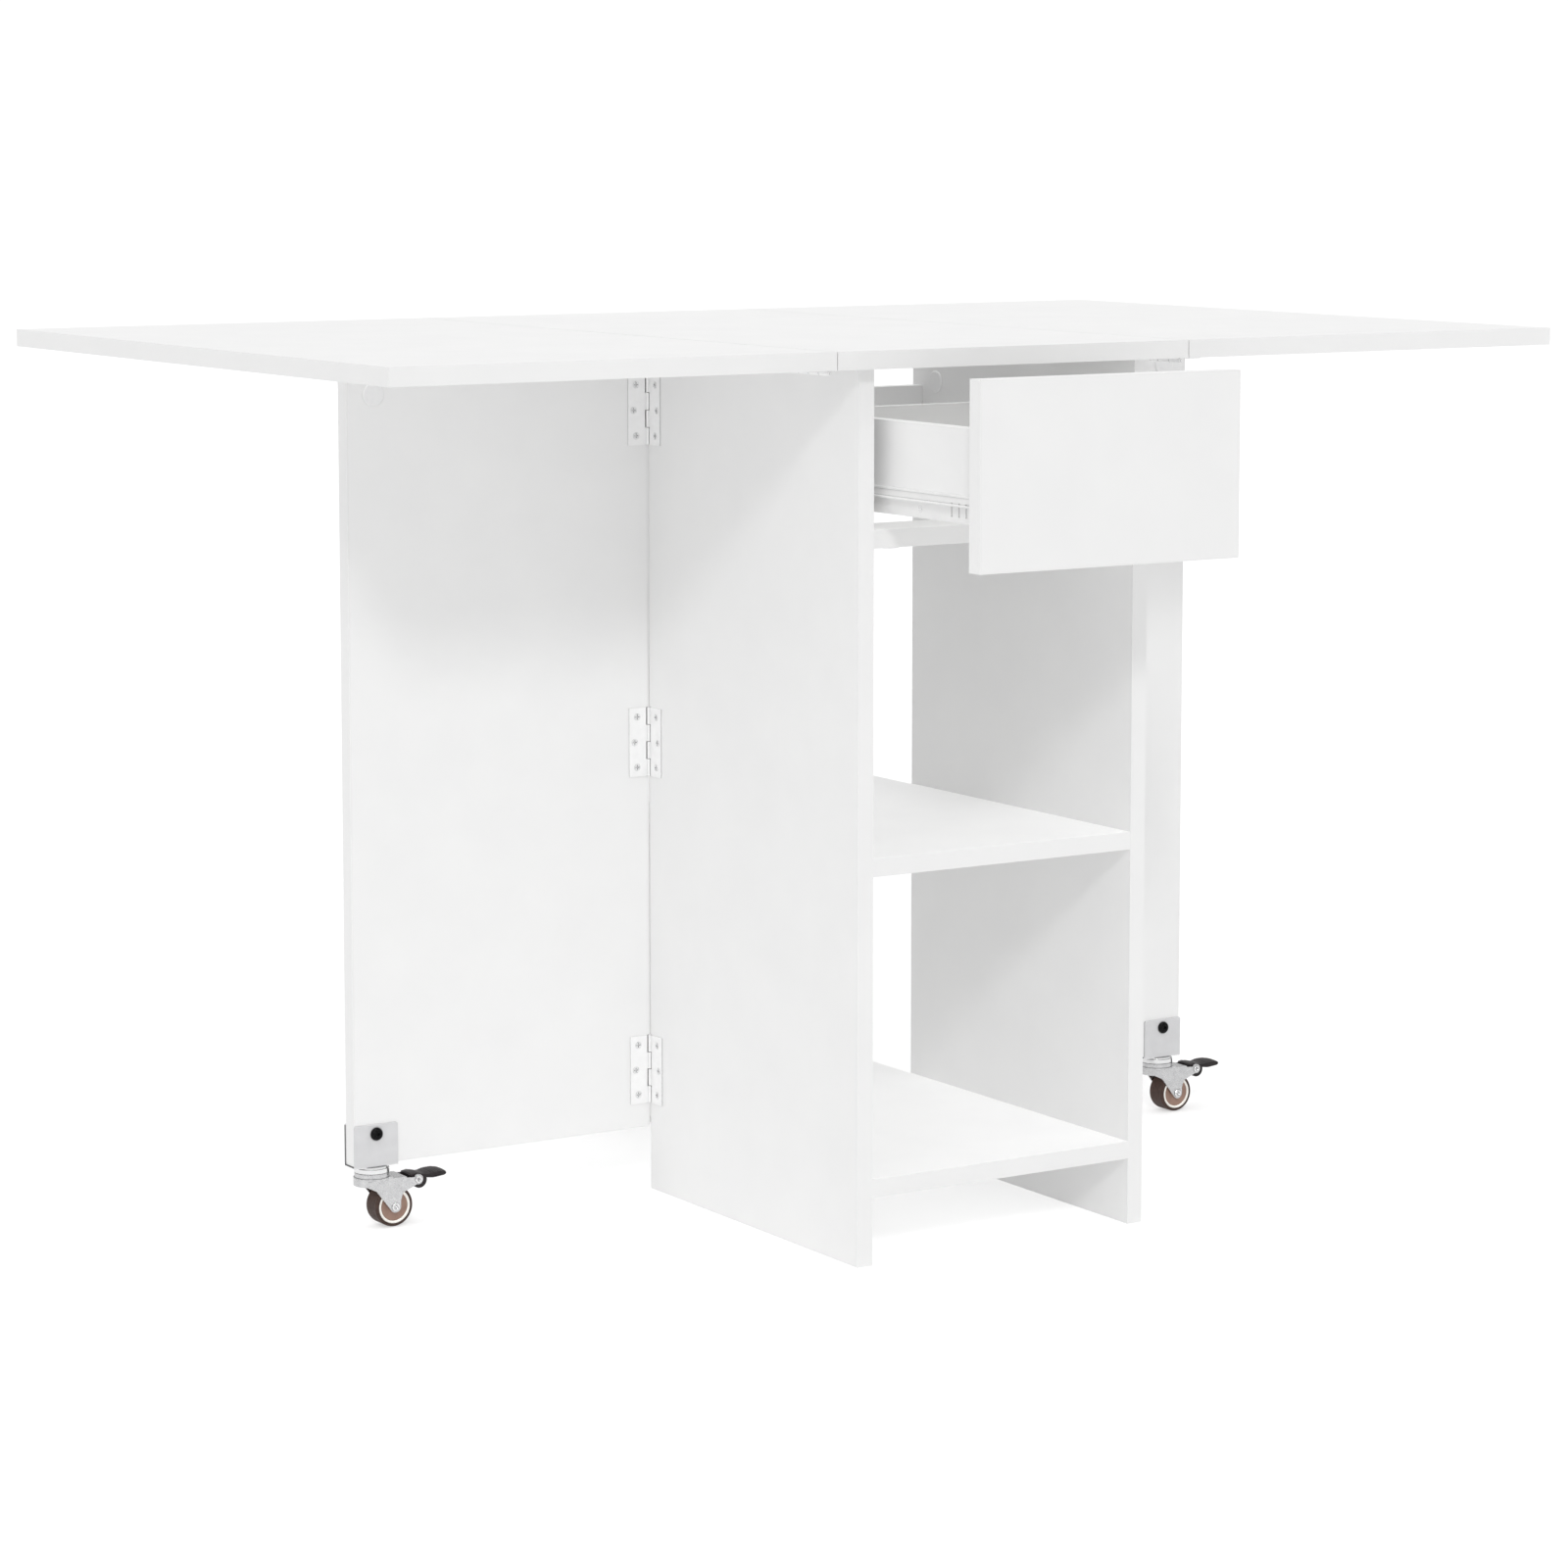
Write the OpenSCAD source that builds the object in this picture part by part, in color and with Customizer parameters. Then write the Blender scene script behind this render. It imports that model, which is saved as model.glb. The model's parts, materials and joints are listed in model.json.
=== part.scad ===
// Sewing table with two drop leaves, two gate legs on braked casters and one drawer.
// Millimetres, +Z up. The drawer front faces -Y. The origin is on the floor, at the
// middle of the whole table with its drawer pulled out.

/* [Tabletop] */
// Width over both leaves
top_w = 1150; // [1000:10:1300]
// Depth of the tabletop
top_d = 700; // [660:10:760]
// Height of the upper surface above the floor
height = 750; // [700:5:800]
// Thickness of every board
board = 15; // [15:1:18]
// Width of the fixed centre board
centre_w = 350; // [340:10:400]
// Gap between the centre board and each leaf
seam = 1; // [0.8:0.2:2]

/* [Cabinet] */
// Width over the two side panels
cabinet_w = 290; // [280:5:320]
// Depth of the side panels
side_d = 328; // [320:2:350]
// Depth of the shelves behind the side panels
rear_bay_d = 225; // [215:5:230]
// How far the cabinet stands back from the front edge of the tabletop
front_setback = 15; // [5:1:20]
// Underside of the bottom shelf
bottom_shelf_z = 56.5; // [50:0.5:70]
// Underside of the middle shelf
middle_shelf_z = 322; // [250:1:400]
// Underside of the flat rail below the drawer
front_rail_z = 588; // [580:1:592]
// Depth of the flat rail
front_rail_d = 54.5; // [40:0.5:80]
// Height of the upright rail behind the drawer
rear_rail_h = 60; // [40:1:80]
// Gap between that rail and the tabletop
rear_rail_drop = 38; // [20:1:45]

/* [Drawer] */
// How far the drawer is pulled out
drawer_out = 145; // [0:5:200]
// Height of the drawer front
drawer_front_h = 152; // [140:1:152]
// Depth of the box behind the front
drawer_d = 290; // [250:5:290]
// Height of the box sides
drawer_side_h = 74; // [60:1:90]
// Thickness of the box sides
drawer_side_t = 12; // [10:1:15]

/* [Gate legs] */
// Length of a leg from the hinge line to its free end
leg_l = 290; // [270:1:292]
// Gap under a leg
leg_foot = 55.5; // [50:0.5:60]

/* [Casters] */
// Wheel radius
wheel_r = 17.5; // [15:0.5:18]
// Half of the wheel width
wheel_half = 10; // [8:0.5:10]
// Distance from the swivel axis back to the axle
trail = 16.5; // [14:0.5:18]

/* [Hidden] */
$fn = 48;

// Levels and planes
under_top = height - board;
half_w = cabinet_w / 2;
inner_half = half_w - board;
front_y = (drawer_out + front_setback - top_d) / 2;
top_front_y = front_y - front_setback;
side_rear_y = front_y + side_d;
rear_panel_y = side_rear_y + rear_bay_d;
// The rear bay is a little narrower, so that the folded legs pass its boards
bay_half = inner_half - 2;
// The rear panel stands on a narrow foot, clear of the swivelling casters
foot_half = 75;

// Butt hinges: six on the legs, with the pin nearly in the plane of the board faces,
// and six under the top, with the pin below the boards. Off is the pin's distance from the faces.
hinge_l = 60;
hinge_reach = 20;
leaf_t = 1.2;
barrel_r = 2.2;
pin_r = 1.1;
pin_fit = 0.05;
leg_off = 0.5;
top_off = barrel_r + 0.4;
knuckles = 4;
knuckle_gap = 0.5;
knuckle_slot = 1.3;
knuckle_l = hinge_l / knuckles;
hinge_x = half_w + leg_off;
leg_hinge_z = [77, 366, 654];
top_hinge_x = centre_w / 2;
top_hinge_z = under_top - top_off;
top_hinge_y = [top_front_y + 10, side_rear_y - 85, top_front_y + top_d - 65];
hinge_screws_at = [[12, 8], [14.5, hinge_l / 2], [12, hinge_l - 8]];
screw_r = 1.5;
screw_head_r = 3;
screw_recess = 0.35;
screw_l = 11;

// Leg boards
leg_gap = 0.5;
leg_top = under_top - leg_gap;
leg_face_y = side_rear_y + leg_off;
caster_inset = 20;
caster_x = hinge_x + leg_l - caster_inset;
caster_y = leg_face_y + board / 2;
leg_cap_z = leg_top - 28.5;
leg_cap_x = caster_x - 5;

// Drawer box: everything below is at the pulled-out position
drawer_front_half = inner_half - 2.5;
runner_gap = 12.7;
box_half = inner_half - runner_gap;
drawer_y = front_y - drawer_out;
box_y = drawer_y + board;
box_z = front_rail_z + board + 16;
drawer_front_z = under_top - 2 - drawer_front_h;
bottom_z = box_z + 8;
bottom_t = 3;
groove = 5;

// Roller runners
runner_t = 1.2;
runner_l = 270;
cabinet_runner_l = 272;
cabinet_runner_z = box_z - 6.5;
cabinet_runner_h = 21.5;
roller_r = 7;
roller_w = 5;
roller_pin_r = 2;
front_roller_y = front_y + board + 9.5;
front_roller_z = box_z + 4.5;
rear_roller_y = box_y + runner_l - 8;
rear_roller_z = box_z + 2;

// Knock-down fittings: each is [place of the cam on its board face, turn, side of the dowel].
// In its own frame a cam sinks along +Z and its bolt runs along +X.
cam_reach = 34;
cam_r = 7.5;
cap_r = 10;
cam_depth = 12.5;
bolt_r = 3;
dowel_r = 4;
dowel_l = 30;
shelf_cam_x = inner_half - cam_reach;
cam_near_y = front_y + 40;
cam_far_y = side_rear_y - 40;
bottom_fits = shelf_fits(bottom_shelf_z);
middle_fits = shelf_fits(middle_shelf_z);
front_rail_fits = [for (s = [-1, 1])
    [[s * shelf_cam_x, front_y + 31, front_rail_z], [0, 0, s > 0 ? 0 : 180], s * 28]];
rear_rail_fits = [for (s = [-1, 1])
    [[s * shelf_cam_x, side_rear_y, under_top - rear_rail_drop - 44], [s * 90, 0, s > 0 ? 0 : 180], s * 28]];
left_top_fits = top_fits(-1);
right_top_fits = top_fits(1);
rear_top_fits = [for (s = [-1, 1])
    [[s * 70, rear_panel_y, under_top - cam_reach], [0, -90, -90], s * 30]];
all_fits = concat(bottom_fits, middle_fits, front_rail_fits, rear_rail_fits,
    left_top_fits, right_top_fits, rear_top_fits);

// Cams of one shelf: two to each side panel and two to the rear panel
function shelf_fits(z) = concat(
    [for (s = [-1, 1]) for (y = [cam_near_y, cam_far_y])
        [[s * shelf_cam_x, y, z], [0, 0, s > 0 ? 0 : 180], s * (y == cam_near_y ? 32 : -32)]],
    [for (s = [-1, 1]) [[s * 70, rear_panel_y - cam_reach, z], [0, 0, 90], s * 30]]);

// Cams of one side panel to the centre board
function top_fits(s) = [for (place = [[cam_near_y + 10, 32], [side_rear_y - 36, -32]])
    [[s * inner_half, place[0], under_top - cam_reach], [0, -90, s > 0 ? 180 : 0], -s * place[1]]];

module at_fit(f) {
    translate(f[0]) rotate(f[1]) children();
}

// What one fitting cuts away from the boards that it joins
module fit_bores(f) {
    at_fit(f) {
        translate([0, 0, -1]) cylinder(r = cam_r, h = cam_depth + 1);
        translate([0, 0, board / 2]) rotate([0, 90, 0]) cylinder(r = bolt_r + 0.5, h = cam_reach);
        translate([cam_reach - 1, 0, board / 2]) rotate([0, 90, 0]) cylinder(r = bolt_r, h = 11);
        dowel_place(f) cylinder(r = dowel_r, h = dowel_l);
    }
}

module dowel_place(f) {
    translate([cam_reach - dowel_l + 9, f[2], board / 2]) rotate([0, 90, 0]) children();
}

module fitted(fits) {
    difference() {
        children();
        for (f = fits) fit_bores(f);
    }
}

module cam_locks() {
    color("silver") for (f = all_fits) at_fit(f) difference() {
        cylinder(r = cam_r - 0.1, h = cam_depth - 0.2);
        translate([0, 0, board / 2]) rotate([0, 90, 0]) cylinder(r = bolt_r + 0.2, h = cam_r + 1);
        translate([0, 0, -1]) cylinder(r = 3, h = 3);
    }
}

module cam_bolts() {
    color("silver") for (f = all_fits) at_fit(f)
        translate([3.5, 0, board / 2]) rotate([0, 90, 0]) cylinder(r = bolt_r, h = cam_reach + 6);
}

module dowels() {
    color("burlywood") for (f = all_fits) at_fit(f) dowel_place(f) cylinder(r = dowel_r, h = dowel_l);
}

module cam_caps() {
    color("gainsboro") for (f = all_fits) at_fit(f) {
        translate([0, 0, -1.4]) cylinder(r1 = cap_r - 1, r2 = cap_r, h = 0.7);
        translate([0, 0, -0.7]) cylinder(r = cap_r, h = 0.7);
    }
}

// One leaf of a hinge. The pin runs along Z, the board face is the plane y = off,
// and the leaf lies along +X with the knuckles of odd number.
module hinge_leaf(off) {
    difference() {
        union() {
            translate([barrel_r + knuckle_slot, off - leaf_t, 0])
                cube([hinge_reach - barrel_r - knuckle_slot, leaf_t, hinge_l]);
            for (k = [1 : 2 : knuckles - 1]) translate([0, 0, k * knuckle_l + knuckle_gap / 2]) {
                cylinder(r = barrel_r, h = knuckle_l - knuckle_gap);
                translate([0, off - leaf_t, 0])
                    cube([barrel_r + knuckle_slot + 0.1, leaf_t, knuckle_l - knuckle_gap]);
            }
        }
        translate([0, 0, -1]) cylinder(r = pin_r + pin_fit, h = hinge_l + 2);
        hinge_screw_holes(off);
    }
}

module hinge_screw_holes(off) {
    for (s = hinge_screws_at) translate([s[0], off, s[1]]) rotate([90, 0, 0]) {
        translate([0, 0, -1]) cylinder(r = screw_r + 0.3, h = leaf_t + 2);
        cylinder(r1 = screw_r + 0.3, r2 = screw_head_r + 0.7, h = leaf_t + 0.01);
    }
}

module hinge_screws(off) {
    for (s = hinge_screws_at) translate([s[0], off, s[1]]) rotate([90, 0, 0])
        countersunk_screw(leaf_t - screw_recess);
}

module hinge_bores(off) {
    for (s = hinge_screws_at) translate([s[0], off, s[1]]) rotate([-90, 0, 0])
        cylinder(r = screw_r, h = screw_l);
}

// The pocket for a barrel in the corner of a board
module barrel_room() {
    translate([0, 0, -0.3]) cylinder(r = barrel_r + 0.4, h = hinge_l + 0.6);
}

// A screw whose head lies flush in a sheet of the given thickness, which lies on z = 0
module countersunk_screw(sheet_t) {
    difference() {
        union() {
            translate([0, 0, -screw_l]) cylinder(r = screw_r, h = screw_l);
            cylinder(r1 = screw_r, r2 = screw_head_r, h = sheet_t);
        }
        for (a = [0, 90]) rotate([0, 0, a]) translate([-2, -0.4, sheet_t - 0.6]) cube([4, 0.8, 1]);
    }
}

// Hinge frames: s is -1 on the left and 1 on the right
module leg_hinges_fixed(s) {
    for (z = leg_hinge_z) translate([s * hinge_x, side_rear_y, z + (s > 0 ? hinge_l : 0)])
        rotate([s > 0 ? 180 : 0, 0, -90]) children();
}

module leg_hinges_moving(s) {
    for (z = leg_hinge_z) translate([s * hinge_x, side_rear_y, z + (s > 0 ? 0 : hinge_l)])
        rotate([0, s > 0 ? 0 : 180, 0]) children();
}

module top_hinges_fixed(s) {
    for (y = top_hinge_y) translate([s * top_hinge_x, y + (s > 0 ? 0 : hinge_l), top_hinge_z])
        rotate([90, 0, s > 0 ? 180 : 0]) children();
}

module top_hinges_moving(s) {
    for (y = top_hinge_y) translate([s * top_hinge_x, y + (s > 0 ? hinge_l : 0), top_hinge_z])
        rotate([90, 0, s > 0 ? 0 : 180]) children();
}

module hinge_fixed_leaves() {
    color("silver") for (s = [-1, 1]) {
        leg_hinges_fixed(s) hinge_leaf(leg_off);
        top_hinges_fixed(s) hinge_leaf(top_off);
    }
}

module leg_hinge_leaves(s) {
    color("silver") leg_hinges_moving(s) hinge_leaf(leg_off);
}

module top_hinge_leaves(s) {
    color("silver") top_hinges_moving(s) hinge_leaf(top_off);
}

module leg_screws(s) {
    color("silver") leg_hinges_moving(s) hinge_screws(leg_off);
}

module leaf_screws(s) {
    color("silver") top_hinges_moving(s) hinge_screws(top_off);
}

module hinge_pins() {
    color("silver") for (s = [-1, 1]) {
        leg_hinges_fixed(s) cylinder(r = pin_r, h = hinge_l);
        top_hinges_fixed(s) cylinder(r = pin_r, h = hinge_l);
    }
}

// Tabletop
module centre_top() {
    color("white") fitted(concat(left_top_fits, right_top_fits, rear_top_fits)) difference() {
        translate([-centre_w / 2 + seam / 2, top_front_y, under_top])
            cube([centre_w - seam, top_d, board]);
        for (s = [-1, 1]) top_hinges_fixed(s) hinge_bores(top_off);
    }
}

module leaf(s) {
    leaf_l = (top_w - centre_w - seam) / 2;
    color("white") difference() {
        translate([s > 0 ? top_w / 2 - leaf_l : -top_w / 2, top_front_y, under_top])
            cube([leaf_l, top_d, board]);
        top_hinges_moving(s) hinge_bores(top_off);
    }
}

// Cabinet
module side_panel(s, fits) {
    color("white") fitted(concat(bottom_fits, middle_fits, front_rail_fits, rear_rail_fits, fits))
        difference() {
            translate([s > 0 ? inner_half : -half_w, front_y, 0]) cube([board, side_d, under_top]);
            leg_hinges_fixed(s) hinge_bores(leg_off);
            leg_hinges_fixed(s) barrel_room();
            runner_screws_at(s) cylinder(r = screw_r, h = screw_l);
        }
}

module shelf(z, fits) {
    color("white") fitted(fits) translate([0, 0, z]) linear_extrude(board) union() {
        translate([-inner_half, front_y]) square([2 * inner_half, side_d]);
        translate([-bay_half, front_y]) square([2 * bay_half, rear_panel_y - front_y]);
    }
}

module front_rail() {
    color("white") fitted(front_rail_fits)
        translate([-inner_half, front_y + board + 0.5, front_rail_z])
            cube([2 * inner_half, front_rail_d, board]);
}

module rear_rail() {
    color("white") fitted(rear_rail_fits)
        translate([-inner_half, side_rear_y - board, under_top - rear_rail_drop - rear_rail_h])
            cube([2 * inner_half, board, rear_rail_h]);
}

module rear_panel() {
    color("white") fitted(concat(bottom_fits, middle_fits, rear_top_fits))
        translate([0, rear_panel_y + board, 0]) rotate([90, 0, 0]) linear_extrude(board) union() {
            translate([-foot_half, 0]) square([2 * foot_half, bottom_shelf_z + 1]);
            translate([-bay_half, bottom_shelf_z]) square([2 * bay_half, under_top - bottom_shelf_z]);
        }
}

// Drawer
dowel_zs = [box_z + 18, box_z + drawer_side_h - 14];

module drawer_dowels_at(r, h) {
    for (s = [-1, 1]) for (z = dowel_zs)
        translate([s * (box_half - drawer_side_t / 2), box_y - 9, z]) rotate([-90, 0, 0]) cylinder(r = r, h = h);
}

module drawer_back_screws_at() {
    for (s = [-1, 1]) for (z = dowel_zs)
        translate([s * box_half, box_y + drawer_d - drawer_side_t / 2 - 6, z]) rotate([0, s * 90, 0]) children();
}

module drawer_front() {
    color("white") difference() {
        translate([-drawer_front_half, drawer_y, drawer_front_z])
            cube([2 * drawer_front_half, board, drawer_front_h]);
        drawer_dowels_at(dowel_r, 24);
        bottom_sheet(groove);
    }
}

module drawer_side(s) {
    color("white") difference() {
        translate([s > 0 ? box_half - drawer_side_t : -box_half, box_y, box_z])
            cube([drawer_side_t, drawer_d, drawer_side_h]);
        drawer_dowels_at(dowel_r, 24);
        drawer_back_screws_at() translate([0, 0, -40]) cylinder(r = 2, h = 41);
        drawer_back_screws_at() translate([0, 0, -2]) cylinder(r1 = 2, r2 = 4, h = 2.01);
        bottom_sheet(groove);
        drawer_runner_screws_at(s) translate([0, 0, -9]) cylinder(r = screw_r, h = 9);
    }
}

module drawer_back() {
    color("white") difference() {
        translate([-box_half + drawer_side_t, box_y + drawer_d - drawer_side_t - 6, bottom_z + bottom_t])
            cube([2 * (box_half - drawer_side_t), drawer_side_t, drawer_side_h - 8 - bottom_t]);
        drawer_back_screws_at() translate([0, 0, -40]) cylinder(r = 2, h = 41);
    }
}

// The thin bottom slides in grooves of the sides and the front, under the back
module bottom_sheet(deep) {
    translate([-box_half + drawer_side_t - deep, box_y - deep, bottom_z])
        cube([2 * (box_half - drawer_side_t + deep), drawer_d + deep, bottom_t]);
}

module drawer_bottom() {
    color("white") bottom_sheet(groove);
}

module drawer_dowels() {
    color("burlywood") drawer_dowels_at(dowel_r, 24);
}

module drawer_screws() {
    color("silver") {
        drawer_back_screws_at() {
            translate([0, 0, -40]) cylinder(r = 2, h = 38);
            translate([0, 0, -2]) cylinder(r1 = 2, r2 = 4, h = 2);
        }
        for (s = [-1, 1]) drawer_runner_screws_at(s) {
            translate([0, 0, -9]) cylinder(r = screw_r, h = 9);
            cylinder(r1 = screw_r, r2 = screw_head_r, h = runner_t);
        }
    }
}

// Roller runners. The cabinet runner is a channel with a roller at its front end,
// and the drawer runner wraps the bottom edge of the drawer side, with a roller at its rear end.
module cabinet_runner(s) {
    color("whitesmoke") difference() {
        mirror([s > 0 ? 0 : 1, 0, 0]) {
            translate([inner_half - runner_t, front_y + board + 1, cabinet_runner_z])
                cube([runner_t, cabinet_runner_l, cabinet_runner_h]);
            for (z = [cabinet_runner_z, cabinet_runner_z + cabinet_runner_h - runner_t])
                translate([inner_half - 9.5, front_roller_y + 10, z])
                    cube([9.5, cabinet_runner_l - 18.5, runner_t]);
            translate([inner_half - 8.7, front_roller_y, front_roller_z]) rotate([0, 90, 0])
                cylinder(r = roller_pin_r, h = 8.7);
            translate([inner_half - 9.5, front_roller_y, front_roller_z]) rotate([0, 90, 0])
                cylinder(r = roller_pin_r + 1.2, h = 0.8);
        }
        runner_screws_at(s) mirror([0, 0, 1]) runner_hole();
    }
}

module drawer_runner(s) {
    slots_y = box_y + 5;
    color("whitesmoke") difference() {
        mirror([s > 0 ? 0 : 1, 0, 0]) {
            translate([box_half, box_y, box_z - runner_t]) cube([runner_t, runner_l, 20.5 + runner_t]);
            translate([box_half, box_y, box_z + 19]) cube([2.2, runner_l, 1.5]);
            translate([box_half - 10, box_y, box_z - runner_t]) cube([10, runner_l, runner_t]);
            translate([box_half, box_y, box_z + 12]) cube([6, runner_l, runner_t]);
            translate([box_half, rear_roller_y, rear_roller_z]) rotate([0, 90, 0])
                cylinder(r = roller_pin_r, h = 10.8);
            translate([box_half + 10.4, rear_roller_y, rear_roller_z]) rotate([0, 90, 0])
                cylinder(r = roller_pin_r + 1.2, h = 0.6);
        }
        drawer_runner_screws_at(s) runner_hole();
        for (k = [0 : 3]) translate([s * box_half - 2, slots_y + 10 * k, box_z + 3]) cube([4, 3, 11]);
    }
}

module runner_hole() {
    translate([0, 0, -0.5]) cylinder(r = screw_r + 0.2, h = runner_t + 1);
    cylinder(r1 = screw_r + 0.2, r2 = screw_head_r + 0.1, h = runner_t + 0.01);
}

// Frames of the runner screws: +Z runs into the panel, or out of the drawer side
module runner_screws_at(s) {
    for (y = [front_y + 37, front_y + 165, front_y + 260])
        translate([s * inner_half, y, cabinet_runner_z + cabinet_runner_h / 2]) rotate([0, s * 90, 0]) children();
}

module drawer_runner_screws_at(s) {
    for (y = [box_y + 81, box_y + 160, box_y + 235])
        translate([s * box_half, y, box_z + 6]) rotate([0, s * 90, 0]) children();
}

module roller(s, near_x, y, z) {
    color("ivory") translate([s * near_x, y, z]) rotate([0, s * 90, 0]) difference() {
        union() {
            cylinder(r = roller_r, h = roller_w);
            translate([0, 0, -0.3]) cylinder(r = roller_pin_r + 1.5, h = roller_w + 0.6);
        }
        translate([0, 0, -1]) cylinder(r = roller_pin_r + pin_fit, h = roller_w + 2);
    }
}

module front_roller(s) {
    roller(s, inner_half - 8.1, front_roller_y, front_roller_z);
}

module rear_roller(s) {
    roller(s, box_half + 4.8, rear_roller_y, rear_roller_z);
}

module cabinet_screws() {
    color("silver") for (s = [-1, 1]) {
        leg_hinges_fixed(s) hinge_screws(leg_off);
        top_hinges_fixed(s) hinge_screws(top_off);
        runner_screws_at(s) {
            cylinder(r = screw_r, h = screw_l);
            translate([0, 0, -runner_t]) cylinder(r1 = screw_head_r, r2 = screw_r, h = runner_t);
        }
    }
}

// Gate legs, shown swung out at a right angle
module leg(s) {
    inner_x = hinge_x + 0.4;
    color("white") difference() {
        translate([s > 0 ? inner_x : -hinge_x - leg_l, leg_face_y, leg_foot])
            cube([leg_l - 0.4, board, leg_top - leg_foot]);
        leg_hinges_moving(s) hinge_bores(leg_off);
        leg_hinges_moving(s) barrel_room();
        at_caster(s) bolt_shaft();
        leg_cap_at(s) translate([0, 0, -8]) cylinder(r = 4, h = 9);
    }
}

module leg_cap_at(s) {
    translate([s * leg_cap_x, leg_face_y, leg_cap_z]) rotate([90, 0, 0]) children();
}

module leg_cap(s) {
    color("gainsboro") leg_cap_at(s) {
        cylinder(r = cap_r, h = 0.8);
        translate([0, 0, 0.8]) cylinder(r1 = cap_r, r2 = cap_r - 1.2, h = 0.8);
        translate([0, 0, -8]) cylinder(r = 4, h = 8);
    }
}

// Casters: the frame of one has its origin on the floor, below the swivel axis,
// and +X points the way that the wheel trails
sheet = 2;
bracket_half = 20.5;
bracket_top = 90;
bolt_z = 82;
pedal_x = 38.5;
pedal_z = 38.5;
plate_in = wheel_half + 0.4;
plate_out = plate_in + 1.6;
crown_r = 15.6;
skirt_z = 37;

module at_caster(s) {
    translate([s * caster_x, caster_y, 0]) children();
}

module along_y(from, to, r) {
    translate([0, to, 0]) rotate([90, 0, 0]) cylinder(r = r, h = to - from);
}

module bolt_shaft() {
    translate([0, 0, bolt_z]) along_y(-15, 15, 3);
}

module caster_bracket() {
    outer = board / 2 + sheet;
    corner = 1.5;
    color("gainsboro") difference() {
        union() {
            translate([-bracket_half, -outer, leg_foot - sheet])
                cube([2 * bracket_half, 2 * outer, bracket_top - leg_foot + sheet]);
            translate([0, 0, 51]) cylinder(r = 14, h = leg_foot - sheet - 51);
            difference() {
                translate([0, 0, 48.4]) cylinder(r = 15, h = 3.6);
                translate([0, 0, 48]) cylinder(r = 13.6, h = 3);
            }
        }
        translate([-bracket_half - 1, -board / 2, leg_foot])
            cube([2 * bracket_half + 2, board, bracket_top]);
        for (side = [-1, 1]) translate([side * bracket_half, 0, bracket_top]) rotate([0, 45, 0])
            cube([corner, 3 * outer, corner], center = true);
        bolt_shaft();
        translate([0, 0, 50]) cylinder(r = 4, h = 6);
    }
}

module caster_bolt() {
    face = board / 2 + sheet;
    color("dimgray") translate([0, 0, bolt_z]) {
        along_y(-face, face + 5.2, 3);
        translate([0, -face, 0]) rotate([90, 0, 0]) rotate_extrude() polygon([
            [0, 0], [5.5, 0], [5.5, 1], [5.2, 1.9], [4.4, 2.7], [3.2, 3.2], [1.8, 3.2], [1.8, 1.6], [0, 1.6]]);
        difference() {
            translate([0, face + 4.2, 0]) rotate([90, 0, 0]) cylinder(r = 5.8, h = 4.2, $fn = 6);
            along_y(face - 1, face + 6, 3);
        }
    }
}

module caster_kingpin() {
    color("silver") {
        translate([0, 0, 40]) cylinder(r = 4, h = leg_foot - 40);
        translate([0, 0, 40]) cylinder(r = 7, h = 1.5);
    }
}

module caster_balls() {
    color("silver") for (k = [0 : 11]) rotate([0, 0, 30 * k]) translate([10.5, 0, 48.68]) sphere(r = 2.3);
}

// Side view of a fork plate: straight flanks between the crown's skirt, the pedal lug and the axle
module fork_outline() {
    polygon([[-10, 44], [12, 44], [14, 42.4], [pedal_x - 3.5, pedal_z + 2.2], [pedal_x + 3.8, pedal_z - 1.9],
        [trail + 7, 29], [trail + 5, wheel_r + 5], [trail + 5, wheel_r], [trail - 4, wheel_r - 3],
        [-1.5, 32.8], [-10, skirt_z]]);
    translate([trail, wheel_r]) circle(r = 5);
    translate([pedal_x, pedal_z]) circle(r = 4.3);
}

module caster_fork() {
    color("gainsboro") difference() {
        union() {
            for (y = [plate_out, -plate_in]) translate([0, y, 0]) rotate([90, 0, 0])
                linear_extrude(plate_out - plate_in) fork_outline();
            translate([-10, -plate_out, 42.4]) cube([24, 2 * plate_out, 1.6]);
            translate([10, -plate_out, 40.8]) cube([17, 2 * plate_out, 1.6]);
            translate([0, 0, 42.4]) cylinder(r = crown_r, h = 1.6);
            translate([0, 0, 42.4]) cylinder(r = 14.8, h = 3.6);
            difference() {
                translate([0, 0, skirt_z]) cylinder(r = crown_r, h = 44 - skirt_z);
                translate([0, 0, skirt_z - 1]) cylinder(r = crown_r - 1.5, h = 44 - skirt_z);
                translate([-9.4, -2 * crown_r, skirt_z - 2]) cube(4 * crown_r);
            }
            difference() {
                translate([0, 0, 44]) cylinder(r = 14.8, h = 3.9);
                translate([0, 0, 46]) cylinder(r = 13.2, h = 3);
            }
        }
        translate([0, 0, 40]) cylinder(r = 4.06, h = 10);
        translate([trail, 0, wheel_r]) along_y(-14, 14, 2.5);
        translate([pedal_x, 0, pedal_z]) along_y(-14, 14, 2);
    }
}

module caster_wheel() {
    soft = 2;
    color("saddlebrown") translate([trail, 0, wheel_r]) difference() {
        rotate([90, 0, 0]) rotate_extrude() union() {
            translate([3, -wheel_half + 1.6]) square([wheel_r - 5, 2 * wheel_half - 3.2]);
            translate([wheel_r - 5.5, -wheel_half]) square([3.5, 2 * wheel_half]);
            translate([wheel_r - soft, -wheel_half + soft]) square([soft, 2 * (wheel_half - soft)]);
            for (z = [-1, 1]) translate([wheel_r - soft, z * (wheel_half - soft)]) circle(r = soft);
            translate([2, -wheel_half]) square([3, 2 * wheel_half]);
        }
        along_y(-14, 14, 2.55);
    }
}

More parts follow.
